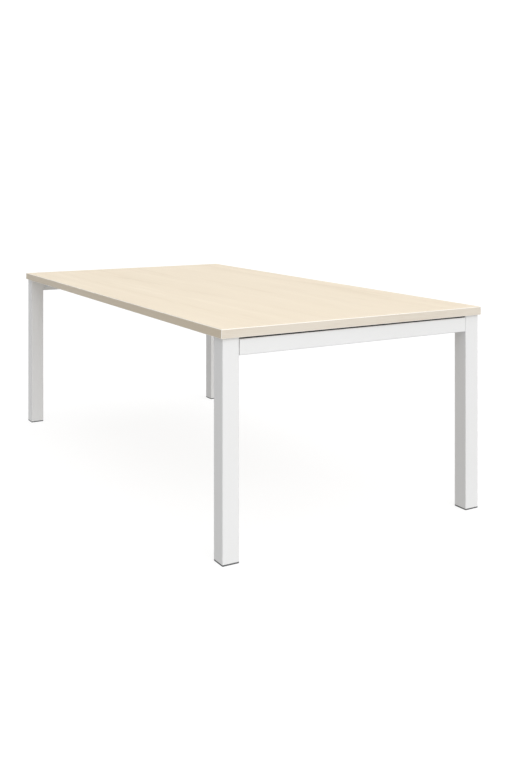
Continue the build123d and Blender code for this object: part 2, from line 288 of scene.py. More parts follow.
# %% The printed grain
# Each layer of noise has a length along the grain, a width across it and a count of octaves.
STREAKS = (800 * MM, 90 * MM, 6.0)
BANDS = (400 * MM, 30 * MM, 5.0)
FIBRES = (60 * MM, 2.4 * MM, 3.0)
NOISE_ROUGHNESS = 0.58
NOISE_DISTORTION = 0.12
FLAME_LENGTH = 2600 * MM
FLAME_WIDTH = 290 * MM
FLAME_RINGS = 9
FLAME_DETAIL = 5.0
FLAME_WANDER = 0.35
# The heart of the flames lies off the table's middle, by these shares of a flame's size.
HEART_ALONG = 0.2
HEART_ACROSS = -0.45
# The share of each layer in the grain, and where the sum of them is dark, middling and pale.
STREAK_SHARE, BAND_SHARE, FLAME_SHARE, FIBRE_SHARE = 0.4, 0.2, 0.22, 0.18
DARK_AT, MID_AT, PALE_AT = 0.34, 0.5, 0.66
PEARL_GRAIN = 0.8 * MM
PEARL_DEPTH = 0.05 * MM
PEARL_DETAIL = 2.0
FIBRE_RELIEF = 0.5
SHEEN_SWING = 0.05


def printed_maple(name, along, pale, mid, dark, roughness, ior, sheen_bump):
    """Maple print on a resin or plastic face; along is the axis, 0 or 1, that the grain follows."""
    material, tree, shader, place = new_material(name)

    layers = []
    for length, width, detail in (STREAKS, BANDS, FIBRES):
        scale = [1 / width] * 3
        scale[along] = 1 / length
        mapping = add(tree, "ShaderNodeMapping", {"Vector": place, "Scale": scale})
        noise = add(
            tree,
            "ShaderNodeTexNoise",
            {
                "Vector": mapping.outputs["Vector"],
                "Scale": 1.0,
                "Detail": detail,
                "Roughness": NOISE_ROUGHNESS,
                "Distortion": NOISE_DISTORTION,
            },
        )
        layers.append(noise.outputs["Fac"])
    streaks, bands, fibres = layers

    # The flames: the distance from the heart in long ellipses, led astray by the streaks.
    ellipse = [1 / FLAME_WIDTH] * 3
    ellipse[along] = 1 / FLAME_LENGTH
    heart = [HEART_ACROSS] * 3
    heart[along] = HEART_ALONG
    flame_place = add(
        tree,
        "ShaderNodeMapping",
        {"Vector": place, "Scale": ellipse, "Location": heart},
    )
    from_heart = add(
        tree,
        "ShaderNodeVectorMath",
        {0: flame_place.outputs["Vector"]},
        operation="LENGTH",
    )
    wander = add(
        tree,
        "ShaderNodeMath",
        {0: streaks, 1: FLAME_WANDER, 2: from_heart.outputs["Value"]},
        operation="MULTIPLY_ADD",
    )
    flame = add(
        tree,
        "ShaderNodeTexNoise",
        {"W": wander.outputs[0], "Scale": FLAME_RINGS, "Detail": FLAME_DETAIL},
        noise_dimensions="1D",
    ).outputs["Fac"]

    # The colour: the weighted sum of the four layers, on a ramp of three shades.
    total = None
    for layer, share in (
        (streaks, STREAK_SHARE),
        (bands, BAND_SHARE),
        (flame, FLAME_SHARE),
        (fibres, FIBRE_SHARE),
    ):
        inputs = {0: layer, 1: share, 2: total.outputs[0] if total else 0.0}
        total = add(tree, "ShaderNodeMath", inputs, operation="MULTIPLY_ADD")
    ramp = add(tree, "ShaderNodeValToRGB", {"Fac": total.outputs[0]})
    ramp.color_ramp.interpolation = "EASE"
    ramp.color_ramp.elements[0].position = DARK_AT
    ramp.color_ramp.elements[0].color = linear(dark)
    ramp.color_ramp.elements[1].position = PALE_AT
    ramp.color_ramp.elements[1].color = linear(pale)
    ramp.color_ramp.elements.new(MID_AT).color = linear(mid)
    tree.links.new(ramp.outputs["Color"], shader.inputs["Base Color"])

    # The sheen: the plate's pearl and the fibres as a very shallow relief, and a drift in gloss.
    pearl = add(
        tree,
        "ShaderNodeTexNoise",
        {"Vector": place, "Scale": 1 / PEARL_GRAIN, "Detail": PEARL_DETAIL},
    )
    relief = add(
        tree,
        "ShaderNodeMath",
        {0: fibres, 1: FIBRE_RELIEF, 2: pearl.outputs["Fac"]},
        operation="MULTIPLY_ADD",
    )
    bump = add(
        tree,
        "ShaderNodeBump",
        {"Height": relief.outputs[0], "Strength": sheen_bump, "Distance": PEARL_DEPTH},
    )
    tree.links.new(bump.outputs["Normal"], shader.inputs["Normal"])
    gloss = add(
        tree,
        "ShaderNodeMapRange",
        {"Value": bands, "To Min": roughness - SHEEN_SWING, "To Max": roughness + SHEEN_SWING},
    )
    tree.links.new(gloss.outputs["Result"], shader.inputs["Roughness"])
    shader.inputs["IOR"].default_value = ior
    return material


ALONG_TABLE = 0
ALONG_END = 1
melamine_colours = ("#F1E4CE", "#ECDEC7", "#E3D3BA")
# The side strips' colours are a darker, warmer copy of the end strips' print. This is painted shade
# for the long side, which is the same edging.
shaded_side_colours = ("#DACBB4", "#D4C5AC", "#CABA9F")
end_colours = ("#E5DCCE", "#DCD3C5", "#CFC3B1")
abs_face = {"roughness": 0.4, "ior": 1.54, "sheen_bump": 0.25}
melamine = printed_maple(
    "maple_melamine", ALONG_TABLE, *melamine_colours, roughness=0.46, ior=1.5, sheen_bump=0.35
)
shaded_side_edging = printed_maple("maple_edging_side_painted_shade", ALONG_TABLE, *shaded_side_colours, **abs_face)
end_edging = printed_maple("maple_edging_end", ALONG_END, *end_colours, **abs_face)
print("printed maple in", melamine.name, shaded_side_edging.name, end_edging.name)

# %% [markdown]
# ## Painted steel, plastic and zinc
# The frame is steel tube with a polyester powder coat, sprayed dry and melted in an oven. That
# leaves an even white film with a satin sheen and a very slight orange peel, whose dimples are
# about 2 mm apart. A coat and a moulding are the same to a shader, an even colour over a fine
# relief, so one function makes both.

# %% Powder coat
ORANGE_PEEL = 2.2 * MM
FILM_CLOUD = 180 * MM
RELIEF_DETAIL = 3.0
RELIEF_STRENGTH = 0.5
SATIN_SWING = 0.04


def sprayed_or_moulded(name, pale, dark, roughness, ior, grain, depth, cloud):
    """A coat or a moulding: a slow drift between two near colours, and a fine bump of its grain."""
    material, tree, shader, place = new_material(name)
    drift = add(
        tree,
        "ShaderNodeTexNoise",
        {"Vector": place, "Scale": 1 / cloud, "Detail": RELIEF_DETAIL},
    )
    colour = add(
        tree,
        "ShaderNodeMix",
        {0: drift.outputs["Fac"], 6: linear(dark), 7: linear(pale)},
        data_type="RGBA",
    )
    tree.links.new(colour.outputs[2], shader.inputs["Base Color"])
    peel = add(
        tree,
        "ShaderNodeTexNoise",
        {"Vector": place, "Scale": 1 / grain, "Detail": RELIEF_DETAIL},
    )
    bump = add(
        tree,
        "ShaderNodeBump",
        {"Height": peel.outputs["Fac"], "Strength": RELIEF_STRENGTH, "Distance": depth},
    )
    tree.links.new(bump.outputs["Normal"], shader.inputs["Normal"])
    gloss_range = {"To Min": roughness - SATIN_SWING, "To Max": roughness + SATIN_SWING}
    satin = add(tree, "ShaderNodeMapRange", {"Value": peel.outputs["Fac"], **gloss_range})
    tree.links.new(satin.outputs["Result"], shader.inputs["Roughness"])
    shader.inputs["IOR"].default_value = ior
    return material


powder_coat = sprayed_or_moulded(
    "white_powder_coat",
    "#E8E8E8",
    "#E5E5E4",
    roughness=0.33,
    ior=1.5,
    grain=ORANGE_PEEL,
    depth=0.03 * MM,
    cloud=FILM_CLOUD,
)
print("paint:", powder_coat.name)

# %% [markdown]
# The glides, plugs and caps are moulded polypropylene and nylon. Their steel moulds are spark
# eroded, which gives a fine matt grain and hides flow marks. That grain is about a tenth of a
# millimetre, too fine to show, so it is drawn several times as coarse. The strips in the gap under
# the board are extruded rubber: the same relief, blacker and with hardly any gloss. They make the
# gap read dark from leg to leg: their black is painted shade where the gap would only be in shadow.

# %% Plastics and rubber
white_cap_plastic = sprayed_or_moulded(
    "white_polypropylene",
    "#E9E9E7",
    "#E4E4E2",
    roughness=0.5,
    ior=1.49,
    grain=0.7 * MM,
    depth=0.02 * MM,
    cloud=60 * MM,
)
glide_plastic = sprayed_or_moulded(
    "dark_grey_polypropylene",
    "#565758",
    "#4C4D4E",
    roughness=0.55,
    ior=1.49,
    grain=0.6 * MM,
    depth=0.04 * MM,
    cloud=30 * MM,
)
black_nylon = sprayed_or_moulded(
    "black_nylon",
    "#26262A",
    "#1E1E20",
    roughness=0.5,
    ior=1.53,
    grain=0.6 * MM,
    depth=0.03 * MM,
    cloud=25 * MM,
)
# Black so that the gap under the board reads dark: painted shade.
gap_shade_rubber = sprayed_or_moulded(
    "black_gap_shade_rubber",
    "#1C1C1D",
    "#161617",
    roughness=0.75,
    ior=1.52,
    grain=0.9 * MM,
    depth=0.05 * MM,
    cloud=40 * MM,
)
dark_mouldings = (glide_plastic, black_nylon, gap_shade_rubber)
print("plastics:", white_cap_plastic.name, [material.name for material in dark_mouldings])

# %% [markdown]
# The fasteners are steel with a zinc plate from a drum bath: bright, bluish, and cloudy where the
# bath was uneven, in patches of about 9 mm. The crystals of the plate are far too fine to show, so
# they are drawn as a grain of 0.35 mm. It is a metal, so its colour is in its reflection.

# %% Zinc plate
ZINC_CLOUD = 9 * MM
ZINC_CLOUD_DETAIL = 3.0
ZINC_ROUGHNESS = (0.22, 0.42)
PLATING_GRAIN = 0.35 * MM
PLATING_DETAIL = 2.0
PLATING_STRENGTH = 0.4
PLATING_DEPTH = 0.01 * MM


def zinc_plate(name):
    """Bright zinc on steel: a bluish metal with cloudy roughness and a very fine grain."""
    material, tree, shader, place = new_material(name)
    cloud = add(
        tree,
        "ShaderNodeTexNoise",
        {"Vector": place, "Scale": 1 / ZINC_CLOUD, "Detail": ZINC_CLOUD_DETAIL},
    )
    tint = add(
        tree,
        "ShaderNodeMix",
        {0: cloud.outputs["Fac"], 6: linear("#B9BDC3"), 7: linear("#D3D5D6")},
        data_type="RGBA",
    )
    tree.links.new(tint.outputs[2], shader.inputs["Base Color"])
    haze_range = dict(zip(("To Min", "To Max"), ZINC_ROUGHNESS))
    haze = add(tree, "ShaderNodeMapRange", {"Value": cloud.outputs["Fac"], **haze_range})
    tree.links.new(haze.outputs["Result"], shader.inputs["Roughness"])
    grain = add(
        tree,
        "ShaderNodeTexNoise",
        {"Vector": place, "Scale": 1 / PLATING_GRAIN, "Detail": PLATING_DETAIL},
    )
    bump = add(
        tree,
        "ShaderNodeBump",
        {
            "Height": grain.outputs["Fac"],
            "Strength": PLATING_STRENGTH,
            "Distance": PLATING_DEPTH,
        },
    )
    tree.links.new(bump.outputs["Normal"], shader.inputs["Normal"])
    shader.inputs["Metallic"].default_value = 1.0
    return material


zinc = zinc_plate("zinc_plated_steel")
print("metal:", zinc.name)

# %% [markdown]
# ## Pieces that are shaped here
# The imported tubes, edging and fasteners are true to size but plain, with coarse corners and no
# threads. Each is built again as a fine mesh in the same place. Almost all of them are a row of
# rings with a skin between each two, as a loft is made. It would be possible to bevel the packed
# meshes instead, but a bevel can't make a thread or a socket, and its corners are less even. The
# helpers below make rings and skins.

# %% Rings and skins
def skin(shape, rings, closed=False):
    """Adds each ring of points to the mesh and joins it to the next ring with quads."""
    loops = [[shape.verts.new(point) for point in ring] for ring in rings]
    pairs = list(zip(loops, loops[1:]))
    if closed:
        pairs.append((loops[-1], loops[0]))
    for near, far in pairs:
        for i in range(len(near)):
            shape.faces.new((near[i - 1], near[i], far[i], far[i - 1]))
    return loops


def cap(shape, loop):
    """Closes the opening inside one ring with a single face."""
    shape.faces.new(loop)


def rounded_rectangle(width, height, radius, steps=8):
    """The points of a rounded rectangle about the origin, anticlockwise."""
    points = []
    quarters = ((1, 1), (-1, 1), (-1, -1), (1, -1))
    for quarter, (sx, sy) in enumerate(quarters):
        for step in range(steps + 1):
            angle = (quarter + step / steps) * math.pi / 2
            x = sx * (width / 2 - radius) + radius * math.cos(angle)
            y = sy * (height / 2 - radius) + radius * math.sin(angle)
            points.append((x, y))
    return points


def circle(radius, points):
    """The points of a circle about the origin, anticlockwise."""
    angles = [2 * math.pi * i / points for i in range(points)]
    return [(radius * math.cos(angle), radius * math.sin(angle)) for angle in angles]


def hexagon(apothem, points):
    """A hexagon with as many points as a circle has, so that a skin can join the two."""
    ring = []
    for i in range(points):
        angle = 2 * math.pi * i / points
        radius = apothem / math.cos(angle % (math.pi / 3) - math.pi / 6)
        ring.append((radius * math.cos(angle), radius * math.sin(angle)))
    return ring


def at_height(ring, height):
    """Lifts a flat ring to a height along Z."""
    return [(x, y, height) for x, y in ring]


print("a hexagon of 12 points:", [round(math.hypot(*p), 2) for p in hexagon(1, 12)])

# %% [markdown]
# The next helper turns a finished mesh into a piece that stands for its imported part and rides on
# the same body. Faces that meet at a small angle are shaded as one smooth surface, and weighted
# normals keep the flats beside a rounded edge flat to the eye.

# %% From a mesh to a piece
SHARP_ANGLE = math.radians(32)
MERGE_DISTANCE = 0.002 * MM


def make_piece(name, shape, materials, stands_for, body):
    """Turns a finished mesh into a piece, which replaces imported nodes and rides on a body."""
    bmesh.ops.remove_doubles(shape, verts=shape.verts[:], dist=MERGE_DISTANCE)
    bmesh.ops.recalc_face_normals(shape, faces=shape.faces[:])
    mesh = bpy.data.meshes.new(name)
    shape.to_mesh(mesh)
    shape.free()
    for material in materials:
        mesh.materials.append(material)
    mesh.shade_smooth()
    mesh.set_sharp_from_angle(angle=SHARP_ANGLE)
    piece = bpy.data.objects.new(name, mesh)
    bpy.context.scene.collection.objects.link(piece)
    even_shading = piece.modifiers.new("even_shading", "WEIGHTED_NORMAL")
    even_shading.keep_sharp = True
    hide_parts(*stands_for)
    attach(piece, body)


def corner_signs(name):
    """The signs of X and Y on the side or at the corner that a name gives."""
    return (1 if "right" in name else -1, 1 if "rear" in name else -1)


print("front_right is at signs", corner_signs("front_right"))

# %% [markdown]
# ## Edging
# The edging is a 2 mm strip of ABS in the print of the board. It is glued on by machine, and a
# cutter then rounds its arris to nearly 2 mm. The cut bares the plastic under the print and
# stretches it a little, which leaves the arris paler and smoother than the face. Here the arris is
# made whiter still, as a painted highlight, so that it shows as the thin bright line of an edged
# board. So the arris is real geometry with a finish of its own, partly bared plastic and partly
# painted highlight. The side strips take a darker, warmer copy of the print, which is painted
# shade. The end strips run the full width and round all their corners; the side strips lie
# between them and only round their long edges.

# %% The finish of the cut arris, partly a painted highlight
# The arris colours are paler than the face's print: partly the bared plastic, partly a painted
# highlight.
arris_and_highlight_colours = ("#FBF7F0", "#F8F3EA", "#F2ECE1")
abs_cut = {"roughness": 0.28, "ior": 1.54, "sheen_bump": 0.1}
cut_arris_and_highlight = printed_maple("maple_edging_cut_arris_and_highlight", ALONG_TABLE, *arris_and_highlight_colours, **abs_cut)
print("arris:", cut_arris_and_highlight.name)

# %% End strips
ARRIS_RADIUS = 1.8 * MM
ARRIS_STEPS = 7
SQUARE_ENOUGH = 0.999


def edging_piece(name, rings, print_face, node_name):
    """Skins and closes a strip; faces that look askew, between two axes, get the arris finish,
    which is paler and carries a painted highlight.
    """
    shape = bmesh.new()
    loops = skin(shape, rings)
    cap(shape, loops[0])
    cap(shape, loops[-1])
    for face in shape.faces:
        face.normal_update()
        squareness = max(abs(share) for share in face.normal)
        face.material_index = 0 if squareness > SQUARE_ENOUGH else 1
    finishes = (print_face, cut_arris_and_highlight)
    make_piece(name, shape, finishes, [node_name], FRAME_BODY)


for end in ENDS:
    node_name = f"edge_band_{end}_end"
    low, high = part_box(node_name)
    outward = corner_signs(end)[0]
    glued_x, outer_x = (low[0], high[0]) if outward > 0 else (high[0], low[0])
    middle_z = (low[2] + high[2]) / 2
    width = high[1] - low[1]
    height = high[2] - low[2]
    rings = []
    for step in range(-1, ARRIS_STEPS + 1):
        angle = max(step, 0) / ARRIS_STEPS * math.pi / 2
        inset = ARRIS_RADIUS * (1 - math.cos(angle))
        x = glued_x if step < 0 else outer_x - outward * ARRIS_RADIUS * (1 - math.sin(angle))
        outline = rounded_rectangle(width - 2 * inset, height - 2 * inset, ARRIS_RADIUS - inset)
        rings.append([(x, y, middle_z + z) for y, z in outline])
    edging_piece(f"edging_{end}_end", rings, end_edging, node_name)
print("end strips:", ENDS)

# %% Side strips
for side in SIDES:
    node_name = f"edge_band_{side}_side"
    low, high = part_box(node_name)
    outward = corner_signs(side)[1]
    glued_y, outer_y = (low[1], high[1]) if outward > 0 else (high[1], low[1])
    section = [(glued_y, low[2]), (glued_y, high[2])]
    for corner_z, up in ((high[2], 1), (low[2], -1)):
        arc = []
        for step in range(ARRIS_STEPS + 1):
            angle = step / ARRIS_STEPS * math.pi / 2
            y = outer_y - outward * ARRIS_RADIUS * (1 - math.sin(angle))
            z = corner_z - up * ARRIS_RADIUS * (1 - math.cos(angle))
            arc.append((y, z))
        section += arc if up > 0 else arc[::-1]
    rings = [[(x, y, z) for y, z in section] for x in (low[0], high[0])]
    # The side strips take the darker copy of the print, which is painted shade.
    edging_piece(f"edging_{side}_side", rings, shaded_side_edging, node_name)
print("side strips:", SIDES)

# %% [markdown]
# ## Steel tubes
# Legs, rails and beams are welded steel tube with 2 mm walls. Rolling leaves a 3 mm radius on the
# outside corners, and the paint follows it, so each corner shows as a soft bright line. A tube is
# one closed skin: out along the outside, over the rim, back along the bore and over the other
# rim. The rims are only deburred, except at the end rails: there the edge that meets the leg is
# rounded more, and the seam reads as a fine grey line. The holes are then cut with a Boolean
# modifier, which is applied at once so that the piece is left with plain mesh.

# %% A hollow tube with holes
TUBE_WALL = 2 * MM
TUBE_RADIUS = 3 * MM
DEBURR = 0.35 * MM
SEAM_ARRIS = 1.5 * MM
HOLE_POINTS = 40


def tube_shape(low, high, axis, arris):
    """A hollow tube that fills a box, open at both ends of one axis, its outer rim rounded."""
    across = [i for i in range(3) if i != axis]
    middle = (low + high) / 2
    width, height = (high[i] - low[i] for i in across)
    # Each step over the rim has a depth into the wall and a distance back from the tube's end.
    rim = []
    for step in range(ARRIS_STEPS + 1):
        angle = math.pi / 2 * step / ARRIS_STEPS
        rim.append((arris * (1 - math.cos(angle)), arris * (1 - math.sin(angle))))
    rim += [(TUBE_WALL - DEBURR, 0), (TUBE_WALL, DEBURR)]
    stations = [(depth, low[axis] + back) for depth, back in rim[::-1]]
    stations += [(depth, high[axis] - back) for depth, back in rim]
    rings = []
    for depth, place in stations:
        ring = []
        for u, v in rounded_rectangle(width - 2 * depth, height - 2 * depth, TUBE_RADIUS - depth):
            point = [0, 0, 0]
            point[axis] = place
            point[across[0]] = middle[across[0]] + u
            point[across[1]] = middle[across[1]] + v
            ring.append(point)
        rings.append(ring)
    shape = bmesh.new()
    skin(shape, rings, closed=True)
    bmesh.ops.recalc_face_normals(shape, faces=shape.faces[:])
    return shape


def drill(shape, holes):
    """Cuts round holes; each is a centre, a direction, a radius and the reach to either side."""
    cutter = bmesh.new()
    for centre, direction, radius, reach in holes:
        turn = Vector(direction).to_track_quat("Z", "Y").to_matrix().to_4x4()
        bmesh.ops.create_cone(
            cutter,
            cap_ends=True,
            segments=HOLE_POINTS,
            radius1=radius,
            radius2=radius,
            depth=2 * reach,
            matrix=Matrix.Translation(centre) @ turn,
        )
    blanks = []
    for name, solid in (("drilled", shape), ("drill_bits", cutter)):
        mesh = bpy.data.meshes.new(name)
        solid.to_mesh(mesh)
        solid.free()
        blank = bpy.data.objects.new(name, mesh)
        bpy.context.scene.collection.objects.link(blank)
        blanks.append(blank)
    drilled, bits = blanks
    cut = drilled.modifiers.new("cut", "BOOLEAN")
    cut.operation = "DIFFERENCE"
    cut.solver = "EXACT"
    cut.object = bits
    applied = drilled.evaluated_get(bpy.context.evaluated_depsgraph_get())
    cut_mesh = bpy.data.meshes.new_from_object(applied)
    result = bmesh.new()
    result.from_mesh(cut_mesh)
    for blank in blanks:
        bpy.data.objects.remove(blank)
    return result


print("tube wall in mm:", TUBE_WALL / MM)

# %% [markdown]
# The bolt places follow from the brackets: each bracket starts at the corner between its two
# tubes, and its bolts are at fixed reaches from there. The short wing has two bolts, one above the
# other, and the long wing has two side by side. The same places give the holes in the tubes.

# %% Bolt places
SHORT_WING_BOLT = 16 * MM
SHORT_WING_RISE = 11 * MM
LONG_WING_BOLTS = (26 * MM, 48 * MM)
BRACKET_STEEL = 4 * MM
RIVET_HOLE_RADIUS = 5.5 * MM


def bracket_bolts(node_name, long_axis):
    """The bolts of one bracket: where each enters the tube, and which way its head points."""
    low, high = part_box(node_name)
    x_sign, y_sign = corner_signs(node_name)
    bend = Vector((high[0] if x_sign > 0 else low[0], high[1] if y_sign > 0 else low[1], 0))
    middle_z = (low[2] + high[2]) / 2
    along = (Vector((-x_sign, 0, 0)), Vector((0, -y_sign, 0)))
    long_way = along[long_axis]
    short_way = along[1 - long_axis]
    places = []
    for rise in (-SHORT_WING_RISE, SHORT_WING_RISE):
        place = bend + short_way * SHORT_WING_BOLT + Vector((0, 0, middle_z + rise))
        places.append((place, long_way))
    for reach in LONG_WING_BOLTS:
        places.append((bend + long_way * reach + Vector((0, 0, middle_z)), short_way))
    return places


corner_places = []
beam_places = []
for corner in CORNERS:
    corner_places += bracket_bolts(f"corner_bracket_{corner}", long_axis=1)
    beam_places += bracket_bolts(f"beam_bracket_{corner}", long_axis=0)
print("bolts:", len(corner_places), "at the corners,", len(beam_places), "at the beams")

# %% [markdown]
# The board screws stand three to a tube. Each goes through a small hole in the tube's top, and a
# screwdriver reaches it through a larger access hole in its underside.

# %% Board screw places
ACCESS_RADIUS = 7.5 * MM
SCREW_HOLE_RADIUS = 3.4 * MM
RAIL_SCREWS = (-362 * MM, 0, 362 * MM)
BEAM_SCREWS = (-700 * MM, 0, 700 * MM)


def middle_of(node_name):
    """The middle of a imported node's box."""
    low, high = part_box(node_name)
    return (Vector(low) + Vector(high)) / 2


def screw_places(node_name):
    """Where the board screws of one rail or beam stand, seen from above."""
    middle = middle_of(node_name)
    if node_name.startswith("end_rail"):
        return [(middle.x, y) for y in RAIL_SCREWS]
    return [(x, middle.y) for x in BEAM_SCREWS]


print("screws of one rail in mm:", [round(y / MM) for x, y in screw_places("end_rail_right")])

# %% The tubes
CLEARANCE = 1 * MM


def inside_box(point, low, high):
    """Says whether a point is in a box, give or take the clearance."""
    return all(low[i] - CLEARANCE <= point[i] <= high[i] + CLEARANCE for i in range(3))


def tube_piece(name, node_name, axis, arris):
    """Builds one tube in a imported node's box, with the holes for the fixings that enter it."""
    low, high = (Vector(corner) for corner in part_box(node_name))
    reach = 2 * TUBE_WALL
    holes = [
        (place, direction, RIVET_HOLE_RADIUS, reach)
        for place, direction in corner_places + beam_places
        if inside_box(place, low, high)
    ]
    if not name.startswith("leg"):
        for x, y in screw_places(node_name):
            holes.append((Vector((x, y, high.z)), (0, 0, 1), SCREW_HOLE_RADIUS, reach))
            holes.append((Vector((x, y, low.z)), (0, 0, 1), ACCESS_RADIUS, reach))
    shape = drill(tube_shape(low, high, axis, arris), holes)
    make_piece(name, shape, (powder_coat,), [node_name], FRAME_BODY)
    return len(holes)


hole_count = 0
for corner in CORNERS:
    hole_count += tube_piece(f"leg_{corner}", f"leg_tube_{corner}", 2, DEBURR)
for end in ENDS:
    hole_count += tube_piece(f"rail_{end}", f"end_rail_{end}", 1, SEAM_ARRIS)
for side in SIDES:
    hole_count += tube_piece(f"cross_beam_{side}", f"beam_{side}", 0, DEBURR)
print("tubes: 8, with holes:", hole_count)

# %% [markdown]
# ## Bolts and screws
# The bracket bolts are M8 button heads with a 5 mm hexagon socket, and the board screws are M6 pan
# heads. Both are turned and pressed parts, so both are rings about one axis: the shank, the domed
# head, and the hexagon that a ring of as many points turns into. Every bolt stops at its own
# angle, as it does when it is tightened by hand. Their threads stay hidden in the tubes and the
# board, so the shanks are left plain.

# %% A socket screw
SCREW_POINTS = 48
TURN_STEP = math.radians(37)
TIP_TAPER = 0.25  # of the shank's radius
HEAD_LAND = 0.15  # the upright part of the head, of its height
FLAT_TOP = 1.35  # the flat round the socket, of the socket's half width
DOME_STEPS = 8
HEAD_BREAK = 0.1 * MM
SOCKET_BREAK = (0.12 * MM, 0.15 * MM)


def socket_screw(shape, seat, direction, turn, shank, head, socket):
    """Adds one screw; shank, head and socket are each a radius (or half width) and a length."""
    shank_radius, shank_length = shank
    head_radius, head_height = head
    apothem, socket_depth = socket
    taper = TIP_TAPER * shank_radius
    land = HEAD_LAND * head_height
    flat_radius = apothem * FLAT_TOP
    profile = [
        (shank_radius - taper, -shank_length),
        (shank_radius, taper - shank_length),
        (shank_radius, 0),
        (head_radius - HEAD_BREAK, 0),
        (head_radius, HEAD_BREAK),
        (head_radius, land),
    ]
    for step in range(1, DOME_STEPS + 1):
        angle = step / DOME_STEPS * math.pi / 2
        radius = flat_radius + (head_radius - flat_radius) * math.cos(angle)
        profile.append((radius, land + (head_height - land) * math.sin(angle)))
    rings = [at_height(circle(radius, SCREW_POINTS), height) for radius, height in profile]
    for half_width, height in (
        (apothem + SOCKET_BREAK[0], head_height),
        (apothem, head_height - SOCKET_BREAK[1]),
        (apothem, head_height - socket_depth),
    ):
        rings.append(at_height(hexagon(half_width, SCREW_POINTS), height))
    facing = Vector(direction).to_track_quat("Z", "Y").to_matrix().to_4x4()
    place = Matrix.Translation(seat) @ facing @ Matrix.Rotation(turn, 4, "Z")
    loops = skin(shape, [[place @ Vector(point) for point in ring] for ring in rings])
    cap(shape, loops[0])
    cap(shape, loops[-1])


# %% Bracket bolts
KEY_SOCKET = (2.5 * MM, 2.4 * MM)
BOLT_SHANK = (3.95 * MM, 14 * MM)
BOLT_HEAD = (7 * MM, 3.8 * MM)


def bolt_set(name, places, node_name):
    """Makes one piece of all the bolts of a node, each through its bracket's steel."""
    shape = bmesh.new()
    for number, (place, direction) in enumerate(places):
        seat = place + direction * BRACKET_STEEL
        turn = number * TURN_STEP
        socket_screw(shape, seat, direction, turn, BOLT_SHANK, BOLT_HEAD, KEY_SOCKET)
    make_piece(name, shape, (zinc,), [node_name], FRAME_BODY)


bolt_set("corner_button_bolts", corner_places, "corner_bolts")
bolt_set("beam_button_bolts", beam_places, "beam_bolts")
print("bolts made:", len(corner_places) + len(beam_places))

# %% Board screws
SCREW_HEAD = (6 * MM, 3.5 * MM)
SCREW_RADIUS = 2.95 * MM

shape = bmesh.new()
screw_low, screw_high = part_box("top_screws")
seat_z = screw_low[2] + SCREW_HEAD[1]
screw_shank = (SCREW_RADIUS, screw_high[2] - seat_z)
screw_count = 0
for node_name in ("end_rail_left", "end_rail_right", "beam_front", "beam_rear"):
    for number, (x, y) in enumerate(screw_places(node_name)):
        seat = (x, y, seat_z)
        turn = number * TURN_STEP
        socket_screw(shape, seat, (0, 0, -1), turn, screw_shank, SCREW_HEAD, KEY_SOCKET)
        screw_count += 1
make_piece("board_screws", shape, (zinc,), ["top_screws"], FRAME_BODY)
print("board screws:", screw_count)

# %% [markdown]
# ## Levelling studs
# A foot is raised by turning its M10 stud in a nut inside the leg. The thread shows when the foot
# is wound out, so it is cut as a real helix: the rings are closely spaced, and each point's radius
# depends on its height and its angle, so the crest climbs by one pitch in every turn. It is a
# right-hand thread, so seen from above the crest rises anticlockwise. At both ends the thread
# runs out over one pitch.

# %% A levelling stud
PITCH = 1.5 * MM
THREAD_DEPTH = 0.85 * MM
STUD_POINTS = 36
RINGS_PER_PITCH = 8
FLANGE_RADIUS = 8 * MM
FLANGE_HEIGHT = 2.5 * MM
STUD_RADIUS = 4.95 * MM
KEY_APOTHEM = 2.5 * MM
KEY_DEPTH = 4.5 * MM
KEY_BREAK = 0.15 * MM
SOFT_EDGE = 0.3 * MM


def thread_ring(height, start, end):
    """One ring of the thread: its radius follows the helix, and fades to the root near the ends."""
    run_out = min(1, (height - start) / PITCH, (end - height) / PITCH)
    ring = []
    for i in range(STUD_POINTS):
        share = i / STUD_POINTS
        crest = 0.5 + 0.5 * math.cos(2 * math.pi * (height / PITCH - share))
        radius = STUD_RADIUS - THREAD_DEPTH * (1 - crest * max(run_out, 0))
        angle = 2 * math.pi * share
        ring.append((radius * math.cos(angle), radius * math.sin(angle)))
    return ring


def levelling_stud(corner):
    """Builds the stud of one foot in its packed box, from the key's socket up to the tip."""
    node_name = f"levelling_stud_{corner}"
    low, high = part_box(node_name)
    middle = middle_of(node_name)
    bottom = low[2]
    rings = []
    for half_width, height in (
        (KEY_APOTHEM, bottom + KEY_DEPTH),
        (KEY_APOTHEM, bottom + KEY_BREAK),
        (KEY_APOTHEM + KEY_BREAK, bottom),
    ):
        rings.append(at_height(hexagon(half_width, STUD_POINTS), height))
    flange_top = bottom + FLANGE_HEIGHT
    root = STUD_RADIUS - THREAD_DEPTH
    for radius, height in (
        (FLANGE_RADIUS - SOFT_EDGE, bottom),
        (FLANGE_RADIUS, bottom + SOFT_EDGE),
        (FLANGE_RADIUS, flange_top - SOFT_EDGE),
        (FLANGE_RADIUS - SOFT_EDGE, flange_top),
        (root + SOFT_EDGE, flange_top),
        (root, flange_top + SOFT_EDGE),
    ):
        rings.append(at_height(circle(radius, STUD_POINTS), height))
    start = flange_top + 2 * SOFT_EDGE
    end = high[2] - 2 * SOFT_EDGE
    count = round((end - start) / PITCH * RINGS_PER_PITCH)
    for step in range(count + 1):
        height = start + (end - start) * step / count
        rings.append(at_height(thread_ring(height, start, end), height))
    rings.append(at_height(circle(root - 2 * SOFT_EDGE, STUD_POINTS), high[2]))
    centre = Vector((middle.x, middle.y, 0))
    shape = bmesh.new()
    loops = skin(shape, [[centre + Vector(point) for point in ring] for ring in rings])
    cap(shape, loops[0])
    cap(shape, loops[-1])
    name = f"threaded_stud_{corner}"
    make_piece(name, shape, (zinc,), [node_name], f"stud_{corner}")
    return count


print("rings of thread on each stud:", [levelling_stud(corner) for corner in CORNERS])

